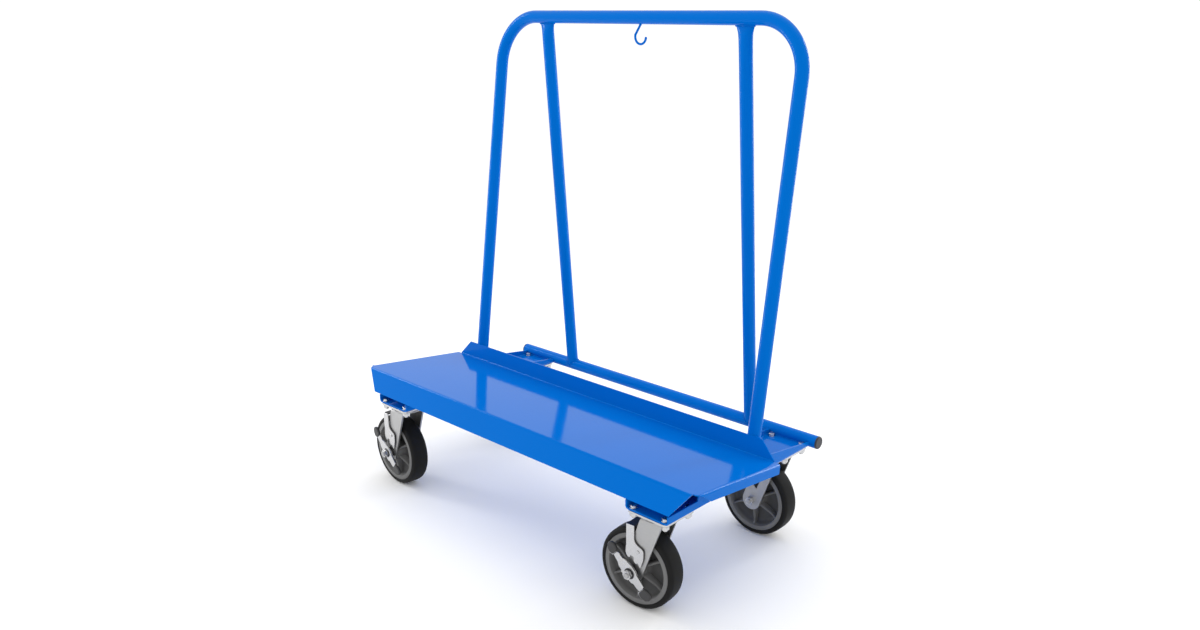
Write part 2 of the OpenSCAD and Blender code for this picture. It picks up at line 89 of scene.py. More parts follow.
TUBE_R = span("rear_tube").z / 2
REAR_TUBE = middle("rear_tube")
CART_X = REAR_TUBE.x
HOOP_LOW, HOOP_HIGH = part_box("front_hoop")
HOOP_TOP = Vector((CART_X, HOOP_HIGH[1] - TUBE_R, HOOP_HIGH[2] - TUBE_R))
HOOP_HALF = span("front_hoop").x / 2 - TUBE_R
HOOP_BEND_R = 126 * MM
HOOP_LEAN = math.radians(8)
CHANNEL_FLOOR = HOOP_LOW[2]
TUBE_SIDES = 40
BEND_STEPS = 20
# attribute name of the wheel casting's mask: painted shade in its pockets, painted light on its raised parts
RAISED = "raised"


class Caster:
    """Where one caster stands: its swivel axis, its turn and its axle, read from the joints."""

    def __init__(self, corner):
        self.corner = corner
        self.braked = corner in BRAKED
        self.post = Vector(JOINTS["swivel_turn_" + corner]["pos_m"])
        self.axle = Vector(JOINTS["wheel_spin_" + corner]["pos_m"])
        across = JOINTS["wheel_spin_" + corner]["axis"]
        self.turn = math.atan2(-across[0], across[1])

    def at_post(self):
        """Places what is drawn from the swivel axis, on the floor."""
        return Matrix.Translation((self.post.x, self.post.y, 0)) @ Matrix.Rotation(self.turn, 4, "Z")

    def at_axle(self):
        """Places what is drawn from the middle of the axle, with the axle along Y."""
        return Matrix.Translation(self.axle) @ Matrix.Rotation(self.turn, 4, "Z")


CASTERS = [Caster(corner) for corner in CORNERS]


# ---- shader maths ----
class Value:
    """A number that varies over a surface. Arithmetic on it adds Math nodes."""

    def __init__(self, tree, socket):
        self.tree = tree
        self.socket = socket

    def _math(self, operation, first, second=0.0):
        node = self.tree.nodes.new("ShaderNodeMath")
        node.operation = operation
        for place, value in enumerate((first, second)):
            if isinstance(value, Value):
                self.tree.links.new(value.socket, node.inputs[place])
            else:
                node.inputs[place].default_value = value
        return Value(self.tree, node.outputs[0])

    def __add__(self, other):
        return self._math("ADD", self, other)

    def __radd__(self, other):
        return self._math("ADD", other, self)

    def __sub__(self, other):
        return self._math("SUBTRACT", self, other)

    def __rsub__(self, other):
        return self._math("SUBTRACT", other, self)

    def __mul__(self, other):
        return self._math("MULTIPLY", self, other)

    def __rmul__(self, other):
        return self._math("MULTIPLY", other, self)

    def above(self, edge, width):
        """0 below edge and 1 above edge + width, with a straight ramp between."""
        ramp = (self - edge) * (1 / width)
        return self._math("MAXIMUM", self._math("MINIMUM", ramp, 1.0), 0.0)


class Finish:
    """A material made of a Principled shader and the nodes that drive it."""

    def __init__(self, name):
        self.material = bpy.data.materials.new(name)
        self.material.use_nodes = True
        self.tree = self.material.node_tree
        self.shader = self.tree.nodes["Principled BSDF"]

    def node(self, kind, settings, inputs, output=0):
        """Makes a node of any kind but Math: settings first, then the values or links of its sockets."""
        node = self.tree.nodes.new(kind)
        for name, value in settings.items():
            setattr(node, name, value)
        for key, value in inputs.items():
            self.feed(node.inputs[key], value)
        return Value(self.tree, node.outputs[output])

    def feed(self, socket, value):
        if isinstance(value, Value):
            self.tree.links.new(value.socket, socket)
        else:
            socket.default_value = value

    def place(self):
        """The point on the surface, in the object's own frame."""
        return self.node("ShaderNodeTexCoord", {}, {}, "Object")

    def noise(self, scale, detail=3.0, roughness=0.5):
        """Cloudy noise from 0 to 1, with about scale clouds a metre."""
        return self.node("ShaderNodeTexNoise", {}, {
            "Vector": self.place(), "Scale": scale, "Detail": detail, "Roughness": roughness}, "Fac")

    def cells(self, scale, output="Distance"):
        """Crystal-like cells, about scale of them a metre."""
        return self.node("ShaderNodeTexVoronoi", {"feature": "F1"}, {
            "Vector": self.place(), "Scale": scale}, output)

    def blend(self, factor, first, second):
        """Goes from the first colour to the second as factor goes from 0 to 1."""
        # a Mix node takes its two colours in sockets 6 and 7 and gives the mixed one out of socket 2
        return self.node("ShaderNodeMix", {"data_type": "RGBA"}, {0: factor, 6: first, 7: second}, 2)

    def bump(self, height, depth):
        """Raises the surface by depth metres where height is 1."""
        self.set(Normal=self.node("ShaderNodeBump", {}, {"Height": height, "Distance": depth}, "Normal"))

    def set(self, **values):
        """Sets or links the shader's sockets, named without their spaces."""
        for socket in self.shader.inputs:
            key = socket.name.replace(" ", "")
            if key in values and socket.enabled:
                self.feed(socket, values.pop(key))
        if values:
            raise ValueError(f"the shader has no {sorted(values)}")


def shade(colour, factor):
    """A darker or lighter version of a colour."""
    return tuple(part * factor for part in colour[:3]) + (1.0,)


def powder_coat(colours):
    """Glossy powder coat: its mirror is deep blue seen square on and white at a glancing angle."""
    finish = Finish("blue_powder_coat")
    clouds = finish.noise(3.0, 2.0)
    grain = finish.noise(900.0, 1.0)
    peel = finish.noise(240.0, 1.0)
    colour = finish.blend(clouds * 0.6 + grain * 0.3,
                          shade(colours.paint, 0.95), shade(colours.paint, 1.06))
    finish.set(BaseColor=colour, Roughness=finish.noise(30.0) * 0.04 + 0.07, IOR=1.21,
               SpecularTint=(0.10, 0.50, 1.0, 1.0))
    finish.bump(peel, 0.004 * MM)
    return finish.material


def zinc(name, colour, dull):
    """Zinc plate: soft mottling, faint crystals and a slight scuffing. dull is its mean roughness."""
    finish = Finish(name)
    mottle = finish.noise(38.0, 4.0, 0.6)
    crystals = finish.cells(300.0, "Color")
    tone = mottle * 0.8 + finish.node("ShaderNodeSeparateColor", {}, {"Color": crystals}) * 0.2
    finish.set(BaseColor=finish.blend(tone, shade(colour, 0.90), shade(colour, 1.08)), Metallic=1.0,
               Roughness=tone * 0.10 + (dull - 0.05))
    finish.bump(finish.noise(300.0, 2.0), 0.004 * MM)
    return finish.material


def casting(colours):
    """Grey paint over a casting, finely pitted, with painted shade down in its pockets and painted light on
    its raised edges.
    """
    finish = Finish("wheel_grey")
    pits = finish.noise(1100.0, 3.0, 0.6)
    dust = finish.noise(30.0, 4.0)
    # colour: painted shade in the web's pockets and painted light on the raised rim and ribs, mixed with a
    # fifth of random dust
    raised = finish.node("ShaderNodeAttribute", {"attribute_name": RAISED}, {}, "Fac")
    tone = raised * 0.8 + dust * 0.2
    finish.set(BaseColor=finish.blend(tone, shade(colours.casting, 0.38), shade(colours.casting, 1.25)),
               Roughness=pits * 0.18 + 0.40, SpecularIORLevel=0.35)
    finish.bump(pits * 0.6 + finish.noise(160.0) * 0.4, 0.10 * MM)
    return finish.material


def rubber(colours):
    """Solid rubber: nearly black, satin, with a fine skin and a little dust."""
    finish = Finish("tyre_rubber")
    dust = finish.noise(45.0, 5.0, 0.65)
    skin = finish.noise(1500.0, 2.0)
    colour = finish.blend(dust.above(0.5, 0.3) * 0.5, colours.rubber, shade(colours.rubber, 1.6))
    finish.set(BaseColor=colour, Roughness=dust * 0.15 + 0.50, SpecularIORLevel=0.12)
    finish.bump(skin * 0.5 + dust * 0.5, 0.03 * MM)
    return finish.material


def plastic(name, colour):
    """Moulded plastic with a spark-eroded grain."""
    finish = Finish(name)
    grain = finish.cells(1300.0)
    finish.set(BaseColor=finish.blend(finish.noise(80.0), shade(colour, 0.85), shade(colour, 1.2)),
               Roughness=grain * 0.15 + 0.38)
    finish.bump(grain, 0.06 * MM)
    return finish.material


MATERIALS = {}


def make_materials(colours):
    """Makes every finish once, under the name of its slot."""
    MATERIALS["blue_powder_coat"] = powder_coat(colours)
    MATERIALS["zinc_plate"] = zinc("zinc_plate", colours.zinc, 0.40)
    MATERIALS["bright_zinc"] = zinc("bright_zinc", colours.bright_zinc, 0.26)
    MATERIALS["bearing_steel"] = zinc("bearing_steel", colours.bright_zinc, 0.16)
    MATERIALS["dark_steel"] = zinc("dark_steel", colours.dark_steel, 0.45)
    MATERIALS["wheel_grey"] = casting(colours)
    MATERIALS["tyre_rubber"] = rubber(colours)
    MATERIALS["cap_plastic"] = plastic("cap_plastic", colours.cap)
    MATERIALS["pad_plastic"] = plastic("pad_plastic", colours.pad)


# ---- making pieces ----
def hand_over(piece, body, slot, *nodes):
    """Gives a finished piece its material and its body, and hides the CAD nodes that it stands for."""
    piece.data.materials.clear()
    piece.data.materials.append(MATERIALS[slot])
    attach(piece, body)
    if nodes:
        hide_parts(*nodes)
    return piece


def add_object(name, mesh):
    """Puts a mesh into the scene as an object."""
    piece = bpy.data.objects.new(name, mesh)
    bpy.context.scene.collection.objects.link(piece)
    return piece


def from_bmesh(name, shape, smooth_deg=32.0):
    """Turns a bmesh into an object, smooth apart from its sharp edges."""
    mesh = bpy.data.meshes.new(name)
    bmesh.ops.recalc_face_normals(shape, faces=shape.faces)
    shape.to_mesh(mesh)
    shape.free()
    mesh.shade_smooth()
    mesh.set_sharp_from_angle(angle=math.radians(smooth_deg))
    return add_object(name, mesh)


def apply_modifiers(piece):
    """Makes the evaluated shape the piece's own mesh and removes its modifiers."""
    bpy.context.view_layer.update()
    shaped = piece.evaluated_get(bpy.context.evaluated_depsgraph_get())
    mesh = bpy.data.meshes.new_from_object(shaped)
    piece.modifiers.clear()
    piece.data = mesh
    return piece


def flatten(mesh, width):
    """Shades the faces wider than width flat and lets the narrow ones between them turn smoothly."""
    least_rim = 0.001 * MM
    least_likeness = 0.3
    mesh.shade_smooth()
    edges = {edge.key: edge for edge in mesh.edges}
    breadth = []
    widest = {}
    for face in mesh.polygons:
        rim = sum((mesh.vertices[a].co - mesh.vertices[b].co).length for a, b in face.edge_keys)
        breadth.append(2 * face.area / max(rim, least_rim))
        if breadth[-1] > width:
            for key in face.edge_keys:
                edges[key].use_edge_sharp = True
        for corner in face.vertices:
            if breadth[-1] > widest.get(corner, (0.0, None))[0]:
                widest[corner] = (breadth[-1], face.normal.copy())
    normals = []
    for face, across in zip(mesh.polygons, breadth):
        for corner in face.vertices:
            best, normal = widest[corner]
            if across > width:
                normal = face.normal
            elif best <= width or normal.dot(face.normal) < least_likeness:
                normal = mesh.vertices[corner].normal
            normals.append(normal)
    mesh.normals_split_custom_set(normals)


def round_edges(piece, width, segments=2, angle_deg=35.0, flat_width=2.5 * MM):
    """Rounds every sharp edge of a piece and keeps its flat faces flat in the light."""
    bevel = piece.modifiers.new("edges", "BEVEL")
    bevel.width = width
    bevel.segments = segments
    bevel.limit_method = "ANGLE"
    bevel.angle_limit = math.radians(angle_deg)
    apply_modifiers(piece)
    flatten(piece.data, flat_width)
    return piece


def cad_copy(node):
    """A bmesh of a CAD node, its loose triangles merged into whole faces."""
    same_point = 0.004 * MM
    same_plane = math.radians(0.4)
    shape = bmesh.new()
    shape.from_mesh(frame["nodes"][node].data)
    bmesh.ops.remove_doubles(shape, verts=shape.verts, dist=same_point)
    bmesh.ops.dissolve_limit(shape, angle_limit=same_plane, verts=shape.verts, edges=shape.edges)
    return shape


def dressed(node, body, slot, width, segments=2):
    """A CAD node with its edges rounded and its curves smooth."""
    piece = from_bmesh(node + "_piece", cad_copy(node), 180.0)
    round_edges(piece, width, segments)
    return hand_over(piece, body, slot, node)


def around(count):
    """The cosine and sine of each of count even steps round a circle."""
    angles = [2 * math.pi * step / count for step in range(count)]
    return [(math.cos(angle), math.sin(angle)) for angle in angles]


def ring(shape, centre, side, up, radius, count, squash=(1.0, 1.0)):
    """A ring of vertices round centre in the plane of side and up."""
    return [shape.verts.new(centre + side * (cosine * radius * squash[0]) + up * (sine * radius * squash[1]))
            for cosine, sine in around(count)]


def skin(shape, rings, close_ends=True):
    """Joins rings of vertices into a tube."""
    for first, second in zip(rings, rings[1:]):
        count = len(first)
        for step in range(count):
            after = (step + 1) % count
            shape.faces.new((first[step], first[after], second[after], second[step]))
    if close_ends:
        shape.faces.new(rings[0])
        shape.faces.new(rings[-1])


def lathe(name, profile, count, place, smooth_deg=32.0):
    """A closed outline of (radius, y) points turned about the Y axis, then placed."""
    shape = bmesh.new()
    loops = [[shape.verts.new((radius * cosine, along, radius * sine)) for cosine, sine in around(count)]
             for radius, along in profile]
    skin(shape, loops + [loops[0]], close_ends=False)
    shape.transform(place)
    return from_bmesh(name, shape, smooth_deg)


def arc(centre, radius, start_deg, end_deg, steps):
    """Points (a, b) of an arc in a plane."""
    points = []
    for step in range(steps + 1):
        angle = math.radians(start_deg + (end_deg - start_deg) * step / steps)
        points.append((centre[0] + radius * math.cos(angle), centre[1] + radius * math.sin(angle)))
    return points


# ---- geometry nodes ----
class Group:
    """A geometry node group with named inputs that ends in Realize Instances and Set Material."""

    def __init__(self, name, sockets):
        self.tree = bpy.data.node_groups.new(name, "GeometryNodeTree")
        entries = (("Geometry", "NodeSocketGeometry"),) + sockets + (("Finish", "NodeSocketMaterial"),)
        for socket_name, kind in entries:
            self.tree.interface.new_socket(name=socket_name, in_out="INPUT", socket_type=kind)
        self.tree.interface.new_socket(name="Geometry", in_out="OUTPUT", socket_type="NodeSocketGeometry")
        self.entry = self.tree.nodes.new("NodeGroupInput")

    def node(self, kind, settings, inputs):
        """Makes a node: settings first, then the values or links of its sockets."""
        node = self.tree.nodes.new(kind)
        for name, value in settings.items():
            setattr(node, name, value)
        for key, value in inputs.items():
            if isinstance(value, bpy.types.NodeSocket):
                self.tree.links.new(value, node.inputs[key])
            else:
                node.inputs[key].default_value = value
        return node

    def given(self, name):
        """The group's own input of that name."""
        return self.entry.outputs[name]

    def pattern(self):
        """The shape of the object given as Piece."""
        info = self.node("GeometryNodeObjectInfo", {"transform_space": "ORIGINAL"}, {
            "Object": self.given("Piece")})
        return info.outputs["Geometry"]

    def close(self, instances):
        """Makes the instances real and gives them their finish."""
        real = self.node("GeometryNodeRealizeInstances", {}, {"Geometry": instances})
        finish = self.node("GeometryNodeSetMaterial", {}, {
            "Geometry": real.outputs[0], "Material": self.given("Finish")})
        leave = self.tree.nodes.new("NodeGroupOutput")
        self.tree.links.new(finish.outputs[0], leave.inputs[0])

    def run(self, piece, **values):
        """Runs the group on a piece; values are its named inputs, spaces written as underscores."""
        modifier = piece.modifiers.new(self.tree.name, "NODES")
        modifier.node_group = self.tree
        for item in self.tree.interface.items_tree:
            key = item.name.replace(" ", "_")
            if item.in_out == "INPUT" and key in values:
                modifier[item.identifier] = values.pop(key)
        if values:
            raise ValueError(f"{self.tree.name} has no input {sorted(values)}")
        return apply_modifiers(piece)


def scatter_group():
    """Copies of a piece, one on every point, each turned a little differently about Z."""
    group = Group("Scatter", (("Piece", "NodeSocketObject"), ("Most turn", "NodeSocketFloat"),
                              ("Seed", "NodeSocketInt")))
    turn = group.node("FunctionNodeRandomValue", {"data_type": "FLOAT"}, {
        "Seed": group.given("Seed"), 2: 0.0, 3: group.given("Most turn")})
    about_z = group.node("ShaderNodeCombineXYZ", {}, {"Z": turn.outputs[1]})
    copies = group.node("GeometryNodeInstanceOnPoints", {}, {
        "Points": group.given("Geometry"), "Instance": group.pattern(), "Rotation": about_z.outputs[0]})
    group.close(copies.outputs[0])
    return group


def spokes_group():
    """Copies of a piece set evenly about Y."""
    group = Group("Spokes", (("Piece", "NodeSocketObject"), ("Count", "NodeSocketInt"),
                             ("First turn", "NodeSocketFloat")))
    points = group.node("GeometryNodePoints", {}, {"Count": group.given("Count")})
    index = group.node("GeometryNodeInputIndex", {}, {})
    step = group.node("ShaderNodeMath", {"operation": "DIVIDE"}, {0: 2 * math.pi, 1: group.given("Count")})
    turn = group.node("ShaderNodeMath", {"operation": "MULTIPLY_ADD"}, {
        0: index.outputs[0], 1: step.outputs[0], 2: group.given("First turn")})
    about_y = group.node("ShaderNodeCombineXYZ", {}, {"Y": turn.outputs[0]})
    copies = group.node("GeometryNodeInstanceOnPoints", {}, {
        "Points": points.outputs[0], "Instance": group.pattern(), "Rotation": about_y.outputs[0]})
    group.close(copies.outputs[0])
    return group


def bead_group():
    """Weld beads along the edges of a mesh: overlapping flattened drops of uneven size."""
    flatness = 0.62
    group = Group("Weld bead", (("Width", "NodeSocketFloat"), ("Pitch", "NodeSocketFloat"),
                                ("Unevenness", "NodeSocketFloat"), ("Seed", "NodeSocketInt")))
    path = group.node("GeometryNodeMeshToCurve", {}, {"Mesh": group.given("Geometry")})
    steps = group.node("GeometryNodeResampleCurve", {"mode": "LENGTH"}, {
        "Curve": path.outputs[0], "Length": group.given("Pitch")})
    tangent = group.node("GeometryNodeInputTangent", {}, {})
    along = group.node("FunctionNodeAlignRotationToVector", {"axis": "Z"}, {"Vector": tangent.outputs[0]})
    radius = group.node("ShaderNodeMath", {"operation": "MULTIPLY"}, {0: group.given("Width"), 1: 0.5})
    drop = group.node("GeometryNodeMeshUVSphere", {}, {
        "Segments": 12, "Rings": 8, "Radius": radius.outputs[0]})
    soft = group.node("GeometryNodeSetShadeSmooth", {}, {"Geometry": drop.outputs["Mesh"]})
    least = group.node("ShaderNodeMath", {"operation": "SUBTRACT"}, {0: 1.0, 1: group.given("Unevenness")})
    most = group.node("ShaderNodeMath", {"operation": "ADD"}, {0: 1.0, 1: group.given("Unevenness")})
    size = group.node("FunctionNodeRandomValue", {"data_type": "FLOAT"}, {
        "Seed": group.given("Seed"), 2: least.outputs[0], 3: most.outputs[0]})
    shape = group.node("ShaderNodeCombineXYZ", {}, {
        "X": size.outputs[1], "Y": size.outputs[1], "Z": flatness})
    copies = group.node("GeometryNodeInstanceOnPoints", {}, {
        "Points": steps.outputs[0], "Instance": soft.outputs[0], "Rotation": along.outputs[0],
        "Scale": shape.outputs[0]})
    group.close(copies.outputs[0])
    return group


def wire(name, lines):
    """A mesh of edges through each line of points, for a group to work along."""
    mesh = bpy.data.meshes.new(name)
    points, edges = [], []
    for line in lines:
        first = len(points)
        points.extend(line)
        edges.extend((first + step, first + step + 1) for step in range(len(line) - 1))
    mesh.from_pydata(points, edges, [])
    return add_object(name, mesh)


# ---- deck and channels ----
def deck_piece(sizes):
    """The folded sheet."""
    dressed("deck_tray", "cart", "blue_powder_coat", sizes.edge_round)


def channel_pieces(sizes):
    """The two cross channels under the deck."""
    for side in ("right", "left"):
        dressed("channel_" + side, "cart", "blue_powder_coat", sizes.edge_round)


# ---- frame ----
HOOP_UP = Vector((0, math.sin(HOOP_LEAN), math.cos(HOOP_LEAN)))
HOOP_OUT = Vector((0, math.cos(HOOP_LEAN), -math.sin(HOOP_LEAN)))


def hoop_path():
    """Centre points of the hoop with their directions, in the hoop's own leaning plane."""
    rise = (HOOP_TOP.z - CHANNEL_FLOOR) / math.cos(HOOP_LEAN)
    stops = [(HOOP_HALF, -rise, 90.0)]
    inner = HOOP_HALF - HOOP_BEND_R
    for side, first, last in ((1, 0.0, 90.0), (-1, 90.0, 180.0)):
        for step in range(BEND_STEPS + 1):
            angle = first + (last - first) * step / BEND_STEPS
            turn = math.radians(angle)
            stops.append((side * inner + HOOP_BEND_R * math.cos(turn),
                          -HOOP_BEND_R + HOOP_BEND_R * math.sin(turn), angle + 90.0))
    stops.append((-HOOP_HALF, -rise, 270.0))
    return [(HOOP_TOP + Vector((x, 0, 0)) + HOOP_UP * up, math.radians(heading))
            for x, up, heading in stops]


def hoop_piece():
    """The bent tube, its feet cut level with the channels."""
    shape = bmesh.new()
    rings = []
    for centre, heading in hoop_path():
        side = Vector((math.sin(heading), 0, 0)) - HOOP_UP * math.cos(heading)
        rings.append(ring(shape, centre, side, HOOP_OUT, TUBE_R, TUBE_SIDES))
    for foot in (rings[0], rings[-1]):
        for corner in foot:
            corner.co += HOOP_UP * ((CHANNEL_FLOOR - corner.co.z) / HOOP_UP.z)
    skin(shape, rings)
    hand_over(from_bmesh("front_hoop_piece", shape), "cart", "blue_powder_coat", "front_hoop")


# each section's distance from the hoop's axis in metres (None is the foot) and its part of the whole flare
LEG_PRESSING = ((None, 0.0), (0.110, 0.0), (0.085, 0.02), (0.065, 0.06), (0.050, 0.12), (0.042, 0.20),
                (0.036, 0.31), (0.031, 0.46), (0.027, 0.63), (0.023, 0.80), (0.019, 0.93), (0.012, 1.0),
                (0.0, 1.0))
THINNING = 1.2


def pressed(flare):
    """How wide and how thick a tube is where it is pressed wider by flare, as parts of its own width."""
    return 1 + flare, 1 - THINNING * flare


def rear_leg_ends(side_name):
    """Foot and head of a rear leg, on the axes of the tubes that it joins."""
    low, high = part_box("rear_leg_" + side_name)
    sign = 1 if side_name == "right" else -1
    foot_x = (high[0] if sign > 0 else low[0]) - sign * TUBE_R
    head_x = (low[0] if sign > 0 else high[0]) + sign * TUBE_R
    return Vector((foot_x, REAR_TUBE.y, REAR_TUBE.z)), Vector((head_x, HOOP_TOP.y, HOOP_TOP.z))


def leg_axes(foot, head):
    """A rear leg's direction, one square to it and to Y, and the one square to both."""
    along = (head - foot).normalized()
    side = Vector((0, 1, 0)).cross(along).normalized()
    return along, side, along.cross(side)


def rear_leg_pieces(sizes):
    """The two rear legs, pressed a little flat where they meet the hoop."""
    for side_name in ("right", "left"):
        foot, head = rear_leg_ends(side_name)
        along, side, back = leg_axes(foot, head)
        shape = bmesh.new()
        rings = []
        for reach, part in LEG_PRESSING:
            place = foot if reach is None else head - along * reach
            squash = pressed(sizes.head_flare * part)
            rings.append(ring(shape, place, side, back, TUBE_R, TUBE_SIDES, squash))
        skin(shape, rings)
        hand_over(from_bmesh("rear_leg_" + side_name + "_piece", shape), "cart", "blue_powder_coat",
                  "rear_leg_" + side_name)


def rear_tube_piece():
    """The level tube across the back, with a cap in each end."""
    half = span("rear_tube").x / 2
    back, up = Vector((0, 1, 0)), Vector((0, 0, 1))
    shape = bmesh.new()
    rings = [ring(shape, REAR_TUBE + Vector((x, 0, 0)), back, up, TUBE_R, TUBE_SIDES) for x in (-half, half)]
    skin(shape, rings)
    hand_over(from_bmesh("rear_tube_piece", shape), "cart", "blue_powder_coat", "rear_tube")
    dressed("tube_caps", "cart", "cap_plastic", 0.8 * MM, 3)


def hook_piece():
    """The wire hook under the hoop's top."""
    dressed("tool_hook", "cart", "blue_powder_coat", 0.2 * MM)


def saddle(foot, axes, centre, angles, flare=0.0):
    """Points where a tube along axes, its end pressed by flare, meets a tube along X through centre."""
    along, side, back = axes
    wide, thick = pressed(flare)
    points = []
    for angle in angles:
        offset = side * (math.cos(angle) * TUBE_R * wide) + back * (math.sin(angle) * TUBE_R * thick)
        start = foot + offset - centre
        start.x = 0
        step = Vector((0, along.y, along.z))
        linear, square = start.dot(step), step.length_squared
        inside = linear ** 2 - square * (start.length_squared - TUBE_R ** 2)
        reach = (-linear + math.sqrt(max(0.0, inside))) / square
        points.append(foot + offset + along * reach)
    return points


def weld_lines(sizes, side_name):
    """One side's bead lines: round the leg's ends and the hoop's foot, up the flange, along the rear tube."""
    steps = 48
    flange_start, flange_gap, channel_gap = 45 * MM, 4 * MM, 6 * MM
    whole = [2 * math.pi * step / steps for step in range(steps + 1)]
    foot, head = rear_leg_ends(side_name)
    along, side, back = leg_axes(foot, head)
    lines = [saddle(foot, (along, side, back), REAR_TUBE, whole),
             saddle(head, (-along, side, back), HOOP_TOP, whole, sizes.head_flare)]

    sign = 1 if side_name == "right" else -1
    lean = Vector((0, math.tan(HOOP_LEAN), 1))
    base_y = HOOP_TOP.y - (HOOP_TOP.z - CHANNEL_FLOOR) * lean.y
    base = Vector((CART_X + sign * HOOP_HALF, base_y, CHANNEL_FLOOR))
    stretch = 1 / math.cos(HOOP_LEAN)
    lines.append([base + Vector((math.cos(angle) * TUBE_R, math.sin(angle) * TUBE_R * stretch, 0))
                  for angle in whole])
    # both sides of the hoop's leg, where it stands against the back flange
    flange_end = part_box("deck_tray")[1][2] - CHANNEL_FLOOR - flange_gap
    for edge in (-1, 1):
        beside = Vector((edge * TUBE_R * 0.62, -TUBE_R * 0.86, 0))
        lines.append([base + lean * rise + beside for rise in (flange_start, flange_end)])

    low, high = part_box("channel_" + side_name)
    drop = REAR_TUBE.z - CHANNEL_FLOOR
    front = REAR_TUBE.y - math.sqrt(TUBE_R ** 2 - drop ** 2)
    lines.append([Vector((x, front, CHANNEL_FLOOR)) for x in (low[0] + channel_gap, high[0] - channel_gap)])
    return lines


def weld_pieces(sizes, bead):
    """Every weld bead of the frame, none of them past the rear tube's back or the hoop's top."""
    margin = 0.6 * sizes.bead_width
    furthest, highest = CAD_BOUNDS[1][1] - margin, CAD_BOUNDS[1][2] - margin
    lines = weld_lines(sizes, "right") + weld_lines(sizes, "left")
    lines = [[Vector((p.x, min(p.y, furthest), min(p.z, highest))) for p in line] for line in lines]
    piece = wire("weld_beads", lines)
    bead.run(piece, Width=sizes.bead_width, Pitch=sizes.bead_pitch, Unevenness=0.14, Seed=7,
             Finish=MATERIALS["blue_powder_coat"])
    hand_over(piece, "cart", "blue_powder_coat")


# ---- casters ----
BOLT_SPREAD_X, BOLT_SPREAD_Y = 46 * MM, 39 * MM
RIM_R, RIM_INSIDE = 88 * MM, 77 * MM
HUB_R, HUB_END = 21 * MM, 28.5 * MM
FLANK, WEB = 24.4 * MM, 3.5 * MM
TYRE_R, TYRE_FLANK, SHOULDER_R = 101.6 * MM, 25.4 * MM, 9 * MM


def bolt_places():
    """The four bolt places of each caster plate, on the ground."""
    return [Vector((caster.post.x + x * BOLT_SPREAD_X, caster.post.y + y * BOLT_SPREAD_Y, 0))
            for caster in CASTERS for x in (-1, 1) for y in (-1, 1)]


def hexagon(shape, across, low, high, crown):
    """A hexagon prism along Z, its far end domed by crown."""
    radius = across / math.sqrt(3)
    rings = []
    for height, size in ((low, 0.96), (low + 0.4 * MM, 1.0), (high - crown, 1.0), (high, 0.86)):
        rings.append([shape.verts.new((radius * size * cosine, radius * size * sine, height))
                      for cosine, sine in around(6)])
    skin(shape, rings)


def round_bar(shape, radius, low, high, rim, count=32):
    """A round bar along Z with its ends chamfered by rim."""
    inner = radius - rim
    rings = []
    for height, size in ((low, inner), (low + rim, radius), (high - rim, radius), (high, inner)):
        rings.append([shape.verts.new((size * cosine, size * sine, height))
                      for cosine, sine in around(count)])
    skin(shape, rings)


def fastener_pieces(scatter):
    """Flange bolts down through the channels and plates, with a washer and a nut under each."""
    bolt_low, bolt_high = (corner[2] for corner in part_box("caster_bolts"))
    nut_low, nut_high = (corner[2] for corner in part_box("caster_nuts"))
    washer_low, washer_high = (corner[2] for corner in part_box("caster_washers"))
    seat, collar_sides = CHANNEL_FLOOR, 40
    shank_r, collar_r, washer_r = 5 * MM, 9 * MM, 10 * MM
    head_across, nut_across = 15 * MM, 16 * MM

    bolt = bmesh.new()
    round_bar(bolt, shank_r, bolt_low, seat + 1 * MM, 0.8 * MM)
    round_bar(bolt, collar_r, seat, seat + 1.5 * MM, 0.5 * MM, collar_sides)
    hexagon(bolt, head_across, seat + 1 * MM, bolt_high, 1.2 * MM)
    nut = bmesh.new()
    hexagon(nut, nut_across, nut_low, nut_high - 0.1 * MM, 0.8 * MM)
    washer = bmesh.new()
    round_bar(washer, washer_r, washer_low, washer_high, 0.3 * MM, collar_sides)
    for name, shape, node, slot, turn in (("bolt", bolt, "caster_bolts", "bright_zinc", math.pi),
                                          ("nut", nut, "caster_nuts", "bright_zinc", math.pi),
                                          ("washer", washer, "caster_washers", "zinc_plate", 0.0)):
        pattern = from_bmesh(name, shape, 28.0)
        places = bpy.data.meshes.new(node + "_places")
        places.from_pydata(bolt_places(), [], [])
        piece = add_object(node + "_piece", places)
        scatter.run(piece, Piece=pattern, Most_turn=turn, Seed=3, Finish=MATERIALS[slot])
        bpy.data.objects.remove(pattern)
        hand_over(piece, "cart", slot, node)


def mark_raised(mesh, low, high):
    """Notes on each point how far it stands out from the wheel's web, from 0 at low to 1 at high: the mask
    for the casting's painted shade and painted light.
    """
    raised = mesh.attributes.new(RAISED, "FLOAT", "POINT")
    for point, mark in zip(mesh.vertices, raised.data):
        mark.value = min(1.0, max(0.0, (abs(point.co.y) - low) / (high - low)))


def both_sides(half):
    """A closed outline: (radius, y) points of one side of the wheel, then the same on its other side."""
    return half + [(radius, -along) for radius, along in reversed(half)]


def hand_over_core(piece, caster):
    """Finishes a piece of the wheel's core that is drawn round the Y axis."""
    mark_raised(piece.data, WEB, FLANK - 3 * MM)
    piece.data.transform(caster.at_axle())
    hand_over(piece, "wheel_" + caster.corner, "wheel_grey", "wheel_core_" + caster.corner)


